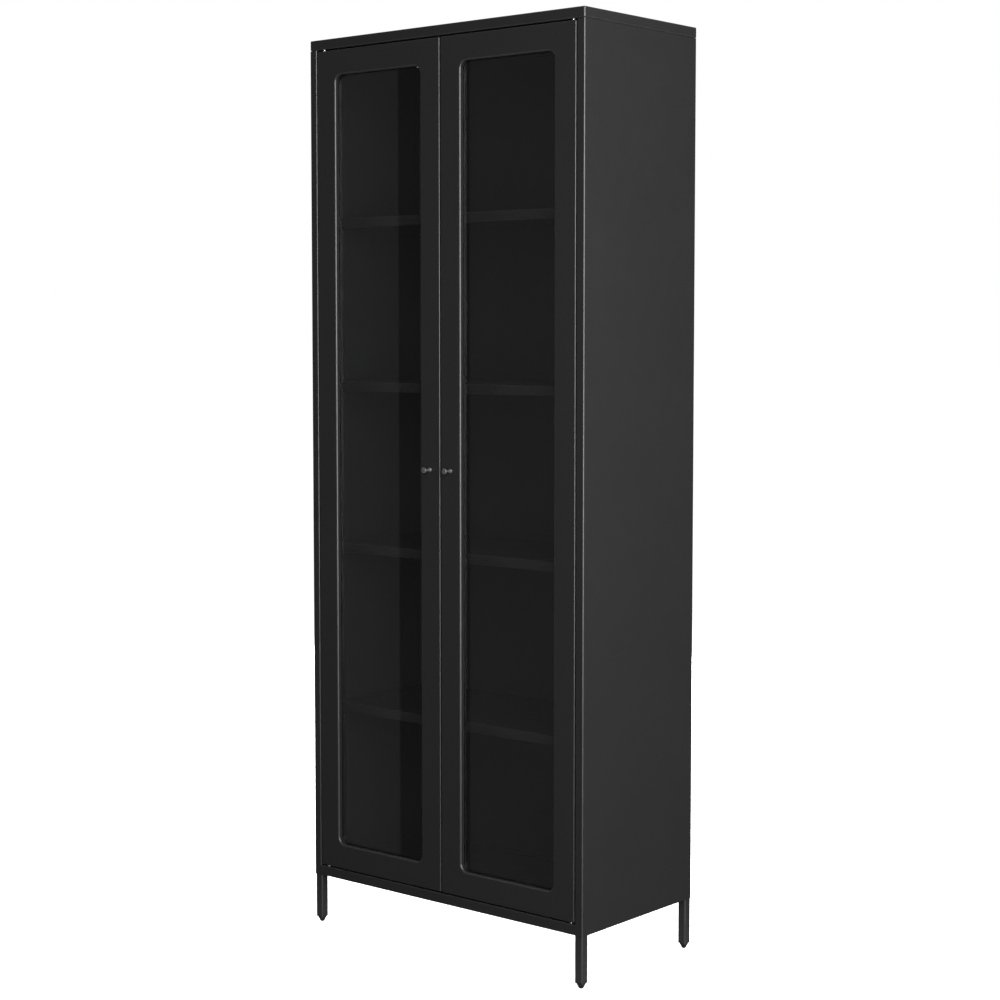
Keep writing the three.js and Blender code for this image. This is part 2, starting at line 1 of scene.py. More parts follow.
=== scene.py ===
"""Tower display case: the visual model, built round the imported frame. Metres, +Z up, the front faces -Y."""
import math

import bmesh
import bpy
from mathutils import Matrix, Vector


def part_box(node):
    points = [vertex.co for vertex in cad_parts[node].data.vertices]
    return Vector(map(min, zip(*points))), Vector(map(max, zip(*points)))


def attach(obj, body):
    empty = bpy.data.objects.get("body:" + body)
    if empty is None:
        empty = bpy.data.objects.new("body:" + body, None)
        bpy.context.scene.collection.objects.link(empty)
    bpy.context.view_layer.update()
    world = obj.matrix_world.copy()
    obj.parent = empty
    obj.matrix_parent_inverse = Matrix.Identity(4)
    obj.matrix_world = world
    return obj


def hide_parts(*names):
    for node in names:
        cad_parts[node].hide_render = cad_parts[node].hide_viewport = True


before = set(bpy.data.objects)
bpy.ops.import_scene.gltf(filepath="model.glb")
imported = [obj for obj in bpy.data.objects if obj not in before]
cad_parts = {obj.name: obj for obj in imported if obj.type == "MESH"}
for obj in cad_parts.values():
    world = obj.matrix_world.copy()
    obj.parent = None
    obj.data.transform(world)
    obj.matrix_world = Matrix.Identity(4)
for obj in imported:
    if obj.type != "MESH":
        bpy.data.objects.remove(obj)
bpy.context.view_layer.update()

MM = 0.001
SIDES = (("left", -1), ("right", 1))
ENDS = (("front", -1), ("back", 1))
SHELVES = range(1, 5)
CORNER = 8                       # steps in a rounded corner
FOLD = 6                         # steps round a fold
TURN = 48                        # steps round a turned piece

# ---- Sizes that the frame's boxes don't say ----
SHEET = 0.8 * MM
BEND = 2.2 * MM                  # outer radius of a fold
TIGHT_BEND = 1.2 * MM            # the same on the floor panel
STILE = 17.5 * MM
JAMB = 20 * MM
REAR_FLANGE = 12 * MM
DOOR_SHEET = 1 * MM
DOOR_ROUND = 1.8 * MM
DOOR_CORNER = 2.5 * MM
FRAME_WIDTH = 50 * MM
WINDOW_ROUND = 15 * MM
ROLL = 3.5 * MM                  # rolled edge round a window
WINDOW_JAMB = 8 * MM
RAIL_FACE = 340 * MM             # the clip rails' inner faces, from the middle
RAIL_WIDTH = 20 * MM
SLOT_WIDTH = 11 * MM
SLOT_HEIGHT = 7.5 * MM
SHELF_LIP = 12 * MM
BACK_FLANGE = 10 * MM

# ---- Roundings, and the mask along them where the powder coat paints a highlight ----
SUPPORT = 0.8 * MM               # from a rounding to the loop that holds the flat beside it
SLIGHT_BEND = math.radians(8)    # between neighbouring faces, where the edge mask starts
FULL_BEND = math.radians(11)     # where the edge mask is full
CUT_EDGE = math.radians(50)      # a sheet's edge, which isn't a rounding


# ---- Materials ----
class Nodes:
    """A node tree, with short calls for adding, linking and arithmetic."""

    def __init__(self, tree):
        self.tree = tree

    def add(self, kind, **values):
        node = self.tree.nodes.new(kind)
        for key, value in values.items():
            setattr(node, key, value)
        return node

    def link(self, source, target):
        self.tree.links.new(source, target)

    def math(self, operation, a, b):
        node = self.add("ShaderNodeMath", operation=operation)
        for socket, value in zip(node.inputs, (a, b)):
            if isinstance(value, (int, float)):
                socket.default_value = value
            else:
                self.link(value, socket)
        return node.outputs[0]


class Material(Nodes):
    """A material's nodes, round one Principled shader."""

    def __init__(self, name):
        self.material = bpy.data.materials.new(name)
        self.material.use_nodes = True
        super().__init__(self.material.node_tree)
        self.shader = self.tree.nodes["Principled BSDF"]
        self.place = self.add("ShaderNodeTexCoord").outputs["Object"]

    def noise(self, scale, detail=2.0, stretch=(1, 1, 1)):
        """A noise whose features are about 1 / scale metres across."""
        mapping = self.add("ShaderNodeMapping")
        mapping.inputs["Scale"].default_value = stretch
        self.link(self.place, mapping.inputs["Vector"])
        node = self.add("ShaderNodeTexNoise")
        node.inputs["Scale"].default_value = scale
        node.inputs["Detail"].default_value = detail
        self.link(mapping.outputs["Vector"], node.inputs["Vector"])
        return node.outputs["Fac"]

    def spread(self, source, low, high, start=0.3, end=0.7):
        """Maps start..end of a value to low..high."""
        node = self.add("ShaderNodeMapRange")
        node.inputs["From Min"].default_value = start
        node.inputs["From Max"].default_value = end
        node.inputs["To Min"].default_value = low
        node.inputs["To Max"].default_value = high
        self.link(source, node.inputs["Value"])
        return node.outputs["Result"]

    def mix(self, amount, first, second):
        node = self.add("ShaderNodeMix", data_type="RGBA")
        self.link(amount, node.inputs["Factor"])
        for socket, value in ((node.inputs[6], first), (node.inputs[7], second)):
            if isinstance(value, tuple):
                socket.default_value = (*value, 1)
            else:
                self.link(value, socket)
        return node.outputs[2]

    def edges(self):
        """1 along the rounded outer edges and 0 elsewhere, slightly broken up by a fine noise."""
        edge_mask = self.add("ShaderNodeAttribute", attribute_name="rounded_edge_mask").outputs["Fac"]
        return self.math("MULTIPLY", edge_mask, self.spread(self.noise(160, 3), 0.75, 1, 0.42, 0.62))

    def bump(self, height, strength, distance):
        node = self.add("ShaderNodeBump")
        node.inputs["Strength"].default_value = strength
        node.inputs["Distance"].default_value = distance
        self.link(height, node.inputs["Height"])
        self.link(node.outputs["Normal"], self.shader.inputs["Normal"])

    def set(self, **values):
        for key, value in values.items():
            self.shader.inputs[key.replace("_", " ")].default_value = value


def powder_coat(name, dark, light, rough):
    """Fine-textured powder coat: orange peel, faint clouding, and smoother paint along the edges, where a
    highlight is painted in as paler paint.
    """
    n = Material(name)
    cloud = n.spread(n.noise(5, 2), 0.35, 0.65)
    speck = n.spread(n.noise(420, 2), 0, 1, 0.35, 0.65)
    colour = n.mix(n.math("ADD", n.math("MULTIPLY", cloud, 0.7), n.math("MULTIPLY", speck, 0.3)), dark, light)
    edge_mask = n.edges()
    # painted highlight: along rounded edges the base colour is 1.9 times the light tone
    pale = tuple(1.9 * channel for channel in light)
    n.link(n.mix(edge_mask, colour, pale), n.shader.inputs["Base Color"])
    uneven = n.spread(n.noise(38, 3), rough - 0.015, rough + 0.015)
    n.link(n.math("SUBTRACT", uneven, n.math("MULTIPLY", edge_mask, 0.06)), n.shader.inputs["Roughness"])
    peel = n.math("ADD", n.noise(650, 1), n.math("MULTIPLY", n.noise(1500, 2), 0.5))
    n.bump(peel, 0.10, 0.04 * MM)
    n.set(IOR=1.5)
    return n.material


def clear_glass(name):
    """Float glass with a faint tint and barely uneven polish. Lamps shine through it."""
    n = Material(name)
    film = n.spread(n.noise(9, 4, (1, 1, 0.4)), 0.0, 0.022, 0.35, 0.75)
    n.link(film, n.shader.inputs["Roughness"])
    n.link(n.mix(n.noise(3, 2), (0.955, 0.96, 0.957), (0.935, 0.944, 0.94)), n.shader.inputs["Base Color"])
    n.bump(n.noise(5, 1), 0.02, 0.2 * MM)
    n.set(Transmission_Weight=1.0, IOR=1.5)
    clear = n.add("ShaderNodeBsdfTransparent")
    clear.inputs["Color"].default_value = (0.66, 0.67, 0.665, 1)
    path = n.add("ShaderNodeLightPath")
    mix = n.add("ShaderNodeMixShader")
    n.link(path.outputs["Is Shadow Ray"], mix.inputs["Fac"])
    n.link(n.shader.outputs["BSDF"], mix.inputs[1])
    n.link(clear.outputs["BSDF"], mix.inputs[2])
    n.link(mix.outputs["Shader"], n.tree.nodes["Material Output"].inputs["Surface"])
    return n.material


def moulded_plastic(name, dark, light, rough):
    """Moulded black plastic with a fine spark-eroded grain."""
    n = Material(name)
    n.link(n.mix(n.spread(n.noise(60, 3), 0, 1), dark, light), n.shader.inputs["Base Color"])
    edge_mask = n.edges()
    uneven = n.spread(n.noise(240, 2), rough - 0.05, rough + 0.05)
    n.link(n.math("SUBTRACT", uneven, n.math("MULTIPLY", edge_mask, 0.12)), n.shader.inputs["Roughness"])
    n.bump(n.noise(1900, 2), 0.2, 0.04 * MM)
    n.set(IOR=1.47)
    return n.material


def rubber(name):
    """Matt black rubber with a fine grain."""
    n = Material(name)
    n.link(n.mix(n.spread(n.noise(90, 3), 0, 1), (0.008, 0.008, 0.008), (0.016, 0.016, 0.016)),
           n.shader.inputs["Base Color"])
    n.link(n.spread(n.noise(300, 3), 0.72, 0.88), n.shader.inputs["Roughness"])
    n.bump(n.noise(1200, 2), 0.25, 0.05 * MM)
    return n.material


def zinc(name):
    """Bright zinc plate: faint clouding and fine drawing lines."""
    n = Material(name)
    cloud = n.spread(n.noise(120, 4), 0, 1)
    n.link(n.mix(cloud, (0.62, 0.63, 0.65), (0.74, 0.74, 0.73)), n.shader.inputs["Base Color"])
    lines = n.noise(900, 2, (1, 1, 0.08))
    n.link(n.spread(lines, 0.22, 0.4), n.shader.inputs["Roughness"])
    n.bump(lines, 0.12, 0.03 * MM)
    n.set(Metallic=1.0)
    return n.material


PAINT = powder_coat("powder_coat_black", (0.0100, 0.0100, 0.0103), (0.0135, 0.0135, 0.0138), 0.38)
KNOB_PAINT = powder_coat("knob_black", (0.055, 0.055, 0.056), (0.066, 0.066, 0.067), 0.24)
GLASS = clear_glass("clear_glass")
PLASTIC = moulded_plastic("black_plastic", (0.010, 0.010, 0.0105), (0.017, 0.017, 0.0175), 0.5)
RUBBER = rubber("rubber_seal")
ZINC = zinc("zinc_steel")
LOOKS = {
    "powder_coat": PAINT,
    "knob_black": KNOB_PAINT,
    "clear_glass": GLASS,
    "black_plastic": PLASTIC,
    "rubber_seal": RUBBER,
    "zinc_steel": ZINC,
}


# ---- Shapes ----
def quarter(steps):
    """Angles from 0 to 90 degrees in even steps."""
    return [math.pi / 2 * k / steps for k in range(steps + 1)]


def around(steps):
    """Angles once round a circle in even steps."""
    return [2 * math.pi * i / steps for i in range(steps)]


def spaced(start, end, count):
    """Evenly spaced values from start to end."""
    return [start + (end - start) * k / (count - 1) for k in range(count)]


class Shape:
    """Points and faces that pieces are gathered from before they become one mesh."""

    def __init__(self):
        self.points = []
        self.faces = []

    def add(self, points, faces):
        first = len(self.points)
        self.points += [tuple(p) for p in points]
        self.faces += [tuple(first + i for i in face) for face in faces]
        return self

    def loft(self, rings, closed=False):
        """A skin over rings of equally many points, capped at both ends or closed onto the first."""
        count, last = len(rings[0]), len(rings)
        faces = []
        for k in range(last if closed else last - 1):
            a, b = k * count, (k + 1) % last * count
            for i in range(count):
                j = (i + 1) % count
                faces.append((a + i, a + j, b + j, b + i))
        if not closed:
            faces.append(tuple(reversed(range(count))))
            faces.append(tuple(range((last - 1) * count, last * count)))
        return self.add([p for ring in rings for p in ring], faces)

    def lathe(self, profile, place, steps=TURN):
        """A turned solid from points (radius, distance along). The first and last points lie on the axis."""
        angles = around(steps)
        rings = [[place(radius * math.cos(a), radius * math.sin(a), along) for a in angles]
                 for radius, along in profile[1:-1]]
        points = [p for ring in rings for p in ring]
        tip, tail = len(points), len(points) + 1
        points += [place(0, 0, profile[0][1]), place(0, 0, profile[-1][1])]
        faces = []
        last = (len(rings) - 1) * steps
        for i in range(steps):
            j = (i + 1) % steps
            faces.append((tip, j, i))
            faces.append((tail, last + i, last + j))
            for k in range(0, last, steps):
                faces.append((k + i, k + j, k + steps + j, k + steps + i))
        return self.add(points, faces)

    def folded(self, path, stations, place, gone=lambda station, step: False):
        """Sheet metal folded along a path and run through the stations, less the cells that are gone."""
        sides = offset_both_ways(path, SHEET / 2)
        rows, columns = len(path), len(stations)
        points = [place(p, s) for side in sides for s in stations for p in side]

        def at(side, k, i):
            return (side * columns + k) * rows + i

        def there(k, i):
            return 0 <= k < columns - 1 and 0 <= i < rows - 1 and not gone(k, i)

        faces = []
        for k in range(columns - 1):
            for i in range(rows - 1):
                if not there(k, i):
                    continue
                corners = ((k, i), (k + 1, i), (k + 1, i + 1), (k, i + 1))
                faces.append(tuple(at(0, *c) for c in corners))
                faces.append(tuple(at(1, *c) for c in reversed(corners)))
                beyond = ((k, i - 1), (k + 1, i), (k, i + 1), (k - 1, i))
                for edge, neighbour in enumerate(beyond):
                    if there(*neighbour):
                        continue
                    a, b = corners[edge], corners[(edge + 1) % 4]
                    faces.append((at(0, *b), at(0, *a), at(1, *a), at(1, *b)))
        return self.add(points, faces)


def offset_both_ways(path, distance):
    """The two lines that run beside a path at a distance."""
    left, right = [], []
    for i, point in enumerate(path):
        here = Vector(point)
        before = (here - Vector(path[i - 1])).normalized() if i else None
        after = (Vector(path[i + 1]) - here).normalized() if i < len(path) - 1 else None
        heading = ((before or after) + (after or before)).normalized()
        stretch = 1 / max(0.3, heading.dot(before or after))
        normal = Vector((-heading.y, heading.x)) * distance * stretch
        left.append(here + normal)
        right.append(here - normal)
    return left, right


def filleted(points, steps=FOLD):
    """A path with rounded corners. Each point is (x, y) or (x, y, radius)."""
    path = []
    for i, point in enumerate(points):
        here = Vector(point[:2])
        radius = point[2] if len(point) > 2 else 0
        if not radius:
            path.append(tuple(here))
            continue
        back = (Vector(points[i - 1][:2]) - here).normalized()
        ahead = (Vector(points[i + 1][:2]) - here).normalized()
        half = back.angle(ahead) / 2
        reach = radius / math.tan(half)
        start = here + back * reach
        end = here + ahead * reach
        centre = here + (back + ahead).normalized() * radius / math.sin(half)
        if (Vector(points[i - 1][:2]) - here).length > reach + 2 * SUPPORT:
            path.append(tuple(start + back * SUPPORT))
        first = math.atan2(*reversed(start - centre))
        turn = (math.atan2(*reversed(end - centre)) - first + math.pi) % (2 * math.pi) - math.pi
        for k in range(steps + 1):
            angle = first + turn * k / steps
            path.append((centre.x + radius * math.cos(angle), centre.y + radius * math.sin(angle)))
        if (Vector(points[i + 1][:2]) - here).length > reach + 2 * SUPPORT:
            path.append(tuple(end + ahead * SUPPORT))
    return path


def rounded_rectangle(x0, x1, z0, z1, radius, steps=CORNER):
    """The points of a rectangle with round corners."""
    corners = ((x1 - radius, z0 + radius, -90), (x1 - radius, z1 - radius, 0),
               (x0 + radius, z1 - radius, 90), (x0 + radius, z0 + radius, 180))
    points = []
    for cx, cz, start in corners:
        for i in range(steps + 1):
            angle = math.radians(start + 90 * i / steps)
            points.append((cx + radius * math.cos(angle), cz + radius * math.sin(angle)))
    return points


def piece(name, shape, look, body, *nodes, sharp=32):
    """Makes a shape into an object that rides on a body and stands for the CAD nodes named.

    Its edge mask attribute is 1 along rounded outer edges and 0 elsewhere; the powder coat paints a highlight
    along it."""
    mesh = bpy.data.meshes.new(name)
    mesh.from_pydata(shape.points, [], shape.faces)
    work = bmesh.new()
    work.from_mesh(mesh)
    bmesh.ops.delete(work, geom=[v for v in work.verts if not v.link_faces], context="VERTS")
    bmesh.ops.recalc_face_normals(work, faces=work.faces)
    # mask of rounded edges, where the powder coat paints a highlight
    edge_layer = work.verts.layers.float.new("rounded_edge_mask")
    for edge in work.edges:
        bend = edge.calc_face_angle_signed(0)
        if SLIGHT_BEND < bend < CUT_EDGE:
            for vert in edge.verts:
                vert[edge_layer] = max(vert[edge_layer], min(1, (bend - SLIGHT_BEND) / (FULL_BEND - SLIGHT_BEND)))
    work.to_mesh(mesh)
    work.free()
    mesh.shade_smooth()
    mesh.set_sharp_from_angle(angle=math.radians(sharp))
    mesh.materials.append(LOOKS[look])
    made = bpy.data.objects.new(name, mesh)
    bpy.context.scene.collection.objects.link(made)
    weighted = made.modifiers.new("weighted_normals", "WEIGHTED_NORMAL")
    weighted.keep_sharp = True
    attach(made, body)
    if nodes:
        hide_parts(*nodes)


def rounded_box(shape, lo, hi, soft, corner, steps=3):
    """A box with rounded upright corners and softened top and bottom edges."""
    rings = []
    for z, way in ((lo.z, 1), (hi.z, -1)):
        ring_set = []
        for angle in quarter(steps):
            inset = soft * (1 - math.sin(angle))
            outline = rounded_rectangle(lo.x + inset, hi.x - inset, lo.y + inset, hi.y - inset,
                                        corner - inset, 4)
            ring_set.append([(x, y, z + way * soft * (1 - math.cos(angle))) for x, y in outline])
        rings += ring_set if way > 0 else ring_set[::-1]
    return shape.loft(rings)


def socket_screw(shape, place, radius, height):
    """A domed screw head with a six-sided recess. Place maps (a, b, distance out) to a point."""
    angles = around(36)
    half_key = 0.5 * radius
    rim = 0.15 * height
    dome = 0.28 * radius

    def circle(size, out):
        return [place(size * math.cos(a), size * math.sin(a), out) for a in angles]

    def hexagon(out):
        sizes = [half_key / math.cos((a + math.pi / 6) % (math.pi / 3) - math.pi / 6) for a in angles]
        return [place(size * math.cos(a), size * math.sin(a), out) for size, a in zip(sizes, angles)]

    rings = [circle(0.96 * radius, 0), circle(radius, rim)]
    for angle in quarter(5)[1:]:
        rings.append(circle(radius - dome * (1 - math.cos(angle)), rim + (height - rim) * math.sin(angle)))
    rings += [hexagon(height), hexagon(0.35 * height)]
    return shape.loft(rings)


# ---- Places ----
top_lo, top_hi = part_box("top_panel")
floor_lo, floor_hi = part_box("bottom_panel")
FRONT, BACK = top_lo.y, top_hi.y
HALF = top_hi.x
CAP_BOTTOM, TOP = top_lo.z, top_hi.z
CASE_BOTTOM, FLOOR = floor_lo.z, floor_hi.z
MIDDLE = (FRONT + BACK) / 2


def run_x(p, s):
    """A profile in the YZ plane, run along X."""
    return (s, p[0], p[1])


def top_panel():
    """A shallow pan turned upside down, with a broad lip inside its front edge and narrow ones elsewhere."""
    front_lip, side_lip = 40 * MM, 16 * MM
    corner = 1.3 * BEND

    def ring(inset, z, radius):
        outline = rounded_rectangle(-HALF + inset, HALF - inset, FRONT + inset, BACK - inset, radius)
        return [(x, y, z) for x, y in outline]

    def mouth(z):
        end = HALF - side_lip
        outline = rounded_rectangle(-end, end, FRONT + front_lip, BACK - side_lip, BEND)
        return [(x, y, z) for x, y in outline]

    rings = [ring(BEND + SUPPORT, TOP, corner - BEND)]
    for angle in quarter(FOLD):
        inset = BEND * (1 - math.sin(angle))
        rings.append(ring(inset, TOP - BEND * (1 - math.cos(angle)), corner - inset))
    rings += [ring(0, TOP - BEND - SUPPORT, corner), ring(0, CAP_BOTTOM + BEND + SUPPORT, corner)]
    for angle in quarter(FOLD):
        inset = BEND * (1 - math.cos(angle))
        rings.append(ring(inset, CAP_BOTTOM + BEND * (1 - math.sin(angle)), corner - inset))
    rings += [
        ring(BEND + SUPPORT, CAP_BOTTOM, corner - BEND),
        mouth(CAP_BOTTOM),
        mouth(CAP_BOTTOM + SHEET),
        ring(SHEET, CAP_BOTTOM + SHEET, BEND - SHEET),
        ring(SHEET, TOP - SHEET, BEND - SHEET),
    ]
    piece("cap", Shape().loft(rings), "powder_coat", "case", "top_panel")


def bottom_panel():
    """The floor, folded down at the front into the rail between the stiles."""
    rail_end = HALF - STILE + BEND - 0.1 * MM      # just short of where the stile's front is flat
    back = floor_hi.y - SHEET / 2
    front = FRONT + SHEET / 2
    notch = FRONT + JAMB + 0.3 * MM                # clear of the jambs, where the floor widens
    bend = TIGHT_BEND - SHEET / 2
    path = filleted([
        (back, CASE_BOTTOM),
        (back, FLOOR - SHEET / 2, bend),
        (notch, FLOOR - SHEET / 2),
        (front, FLOOR - SHEET / 2, bend),
        (front, CASE_BOTTOM + SHEET / 2, bend),
        (FRONT + SHELF_LIP, CASE_BOTTOM + SHEET / 2),
    ])
    notch_step = min(range(len(path)), key=lambda i: abs(path[i][0] - notch) + abs(path[i][1] - FLOOR))
    back_step = next(i for i, p in enumerate(path) if p[1] > FLOOR - SHEET)
    edge = floor_hi.x
    stations = [-edge, -rail_end, rail_end, edge]

    def gone(station, step):
        return station != 1 and (step >= notch_step or step < back_step)

    shape = Shape().folded(path, stations, run_x, gone=gone)
    flange_half = 128 * MM
    for _, side in SIDES:
        flange = [(side * (edge - SHEET / 2), CASE_BOTTOM), (side * (edge - SHEET / 2), FLOOR - SHEET)]
        shape.folded(flange, [MIDDLE - flange_half, MIDDLE + flange_half], lambda p, s: (p[0], s, p[1]))
    piece("case_floor", shape, "powder_coat", "case", "bottom_panel")


def side_panel(name, side):
    """Stile, jamb, side wall and rear flange from one sheet. Below the floor the jamb is cut away."""
    middle = SHEET / 2
    jamb = HALF - STILE + middle
    bend = BEND - middle
    rear = BACK - middle - SHEET
    path = filleted([
        (jamb, FRONT + JAMB),
        (jamb, FRONT + middle, bend),
        (HALF - middle, FRONT + middle, bend),
        (HALF - middle, rear, bend),
        (HALF - REAR_FLANGE, rear),
    ])
    lo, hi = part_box(f"side_panel_{name}")
    jamb_steps = next(i for i, p in enumerate(path) if p[1] < FRONT + middle + 0.01 * MM)
    shape = Shape().folded(
        path,
        [lo.z, FLOOR, hi.z],
        lambda p, s: (side * p[0], p[1], s),
        gone=lambda station, step: station == 0 and step < jamb_steps,
    )
    piece(f"side_wall_{name}", shape, "powder_coat", "case", f"side_panel_{name}")


def clip_rails(name, side):
    """Channels with a slot behind each shelf clip."""
    end_gap = 60 * MM
    slot_below_shelf = 1.5 * MM
    bend = 1.2 * MM                  # at the middle of the sheet
    half = RAIL_WIDTH / 2 - SHEET / 2
    face = RAIL_FACE + SHEET / 2
    wall = HALF - SHEET - 0.05 * MM
    stations = [FLOOR + end_gap]
    for i in SHELVES:
        slot_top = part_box(f"shelf_{i}")[0].z - slot_below_shelf
        stations += [slot_top - SLOT_HEIGHT, slot_top]
    stations.append(CAP_BOTTOM - end_gap)
    for end, _ in ENDS:
        lo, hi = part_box(f"shelf_clip_1_{end}_{name}")
        y = (lo.y + hi.y) / 2
        path = filleted([
            (wall, y - half),
            (face, y - half, bend),
            (face, y - SLOT_WIDTH / 2),
            (face, y + SLOT_WIDTH / 2),
            (face, y + half, bend),
            (wall, y + half),
        ], 4)
        slot_step = next(i for i, p in enumerate(path) if abs(p[1] - y + SLOT_WIDTH / 2) < 1e-6)
        shape = Shape().folded(
            path,
            stations,
            lambda p, s: (side * p[0], p[1], s),
            gone=lambda station, step: station % 2 == 1 and step == slot_step,
        )
        piece(f"clip_rail_{end}_{name}", shape, "powder_coat", "case")


def back_panel():
    """A sheet with its upper and lower edges folded forward and a row of screws along each upright edge."""
    lo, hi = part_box("back_panel")
    gap = 0.18 * MM                  # to the side walls' rear flanges
    rear = BACK - 2.5 * SHEET - gap
    bend = BEND - SHEET / 2
    path = filleted([
        (rear - BACK_FLANGE, lo.z + SHEET / 2),
        (rear, lo.z + SHEET / 2, bend),
        (rear, hi.z - SHEET / 2, bend),
        (rear - BACK_FLANGE, hi.z - SHEET / 2),
    ])
    piece("back_sheet", Shape().folded(path, [lo.x, hi.x], run_x), "powder_coat", "case", "back_panel")
    screws_each, margin = 8, 60 * MM
    inward = REAR_FLANGE / 2 + 0.8 * MM
    for name, side in SIDES:
        x = side * (HALF - inward)
        screws = Shape()
        for z in spaced(lo.z + margin, hi.z - margin, screws_each):
            socket_screw(screws, lambda a, b, out: (x + a, BACK - SHEET + out, z - b), 3.2 * MM, SHEET)
        piece(f"back_screws_{name}", screws, "zinc_steel", "case")


def shelf(index):
    """A folded tray: rounded front edge with a lip, and flanges down its back and sides."""
    lo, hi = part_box(f"shelf_{index}")
    middle = SHEET / 2
    bend = BEND - middle
    path = filleted([
        (hi.y - middle, lo.z),
        (hi.y - middle, hi.z - middle, bend),
        (lo.y + middle, hi.z - middle, bend),
        (lo.y + middle, lo.z + middle, bend),
        (lo.y + SHELF_LIP, lo.z + middle),
    ])
    shape = Shape().folded(path, [lo.x, hi.x], run_x)
    for end in (lo.x + middle, hi.x - middle):
        shape.folded(
            [(end, lo.z), (end, hi.z - SHEET)],
            [lo.y + BEND, hi.y - SHEET],
            lambda p, s: (p[0], s, p[1]),
        )
    piece(f"shelf_tray_{index}", shape, "powder_coat", "case", f"shelf_{index}")


# ---- Legs ----
def leg(end, end_sign, name):
    """A square tube with a bolted plate under the floor, a plug in its lower end and a levelling foot."""
    lo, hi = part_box(f"leg_{end}_{name}")
    plug_lo, plug_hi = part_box(f"leg_plug_{end}_{name}")
    x = (plug_lo.x + plug_hi.x) / 2
    y = (plug_lo.y + plug_hi.y) / 2
    half = (plug_hi.x - plug_lo.x) / 2

    def square(inset, z, corner):
        size = half - inset
        outline = rounded_rectangle(x - size, x + size, y - size, y + size, corner)
        return [(a, b, z) for a, b in outline]

    wall, corner = 1.5 * MM, 3 * MM
    inner_soft, outer_soft = 0.15 * MM, 0.3 * MM       # the lower end's edges
    tube = Shape().loft([square(inset, z, corner - inset) for inset, z in (
        (outer_soft, lo.z), (0.08 * MM, lo.z + 0.1 * MM), (0, lo.z + outer_soft), (0, hi.z),
        (wall, hi.z), (wall, lo.z + 0.1 * MM), (wall - inner_soft, lo.z),
    )], closed=True)
    plate_bottom = hi.z - 2.5 * MM
    reach = y - end_sign * (half - wall), y - end_sign * 35 * MM
    plate_lo = Vector((x - half, min(reach), plate_bottom))
    rounded_box(tube, plate_lo, Vector((x + half, max(reach), hi.z)), 0.4 * MM, 3 * MM)
    piece(f"leg_tube_{end}_{name}", tube, "powder_coat", "case", f"leg_{end}_{name}")

    bolts = Shape()
    for out in (16 * MM, 27 * MM):
        centre = y - end_sign * out
        socket_screw(bolts, lambda a, b, down: (x + a, centre - b, plate_bottom - down), 4 * MM, 2.6 * MM)
    piece(f"leg_bolts_{end}_{name}", bolts, "zinc_steel", "case")

    soft = 0.5 * MM
    bore = 4.3 * MM
    flange_corner, neck_corner = 2.6 * MM, 1.2 * MM
    neck = 1.8 * MM                  # inset of the part that sits in the tube
    flange_top = lo.z - 0.02 * MM
    rings = [square(inset, z, flange_corner) for inset, z in (
        (soft, plug_lo.z), (0.15 * soft, plug_lo.z + 0.3 * soft), (0, plug_lo.z + soft),
        (0, flange_top - soft), (0.15 * soft, flange_top - 0.3 * soft), (soft, flange_top),
    )]
    rings += [square(neck, flange_top, neck_corner), square(neck, plug_hi.z, neck_corner)]
    angles = [math.atan2(b - y, a - x) for a, b, _ in rings[0]]
    for z in (plug_hi.z, plug_lo.z):
        rings.append([(x + bore * math.cos(t), y + bore * math.sin(t), z) for t in angles])
    plug = Shape().loft(rings, closed=True)
    piece(f"leg_cap_{end}_{name}", plug, "black_plastic", "case", f"leg_plug_{end}_{name}")
    levelling_foot(end, name, x, y, plug_lo.z - 0.3 * MM)


def levelling_foot(end, name, x, y, pad_top):
    """A tapered pad, which stands at height 0, on a threaded stud."""
    body, node = f"foot_{end}_{name}", f"levelling_foot_{end}_{name}"
    lo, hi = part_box(node)
    tip, pad = 3.6 * MM, 8.6 * MM
    profile = filleted([
        (0, lo.z), (tip, lo.z, 0.4 * MM), (4.8 * MM, 1.2 * MM, 0.8 * MM),
        (5.4 * MM, 3.2 * MM, 2 * MM), (7 * MM, 6.2 * MM, 4 * MM), (pad, 8.6 * MM, 0.6 * MM),
        (pad, pad_top, 0.35 * MM), (0, pad_top),
    ], 4)
    shape = Shape().lathe(profile, lambda a, b, along: (x + a, y + b, along))
    piece(f"foot_pad_{end}_{name}", shape, "black_plastic", body, node)
    piece(f"foot_stud_{end}_{name}", threaded_stud(x, y, pad_top, hi.z), "zinc_steel", body, node, sharp=80)


def threaded_stud(x, y, bottom, top):
    """A stud with a helical M8 thread."""
    pitch, radius, depth, steps, per_turn = 1.25 * MM, 4 * MM, 0.62 * MM, 24, 6
    lead_in = 0.8 * MM
    rings = []
    for z in spaced(bottom, top, int((top - bottom) / pitch * per_turn) + 1):
        cut_back = max(0, lead_in - (top - z))
        ring = []
        for i, angle in enumerate(around(steps)):
            phase = ((z - bottom) / pitch - i / steps) % 1
            groove = abs(2 * phase - 1)
            size = radius - depth * groove - cut_back
            ring.append((x + size * math.cos(angle), y + size * math.sin(angle), z))
        rings.append(ring)
    return Shape().loft(rings)


# ---- Doors ----
class DoorOutline:
    """Rings that follow one door's outer edge or its window."""

    def __init__(self, name):
        self.lo, self.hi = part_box(f"door_frame_{name}")

    def outer(self, inset, y, radius):
        lo, hi = self.lo, self.hi
        outline = rounded_rectangle(lo.x + inset, hi.x - inset, lo.z + inset, hi.z - inset, radius)
        return [(x, y, z) for x, z in outline]

    def window(self, grow, y):
        return self.outer(FRAME_WIDTH - grow, y, WINDOW_ROUND + grow)


def door(name):
    """One door, with all that turns with it and the pins that it turns on."""
    body = f"{name}_door"
    outline = DoorOutline(name)
    door_skin(name, body, outline)
    glazing_seal(name, body, outline)
    pane(name, body)
    inner_frame(name, body, outline)
    frame_screws(name, body, outline)
    knob(name, body)
    pivots(name, body, outline)


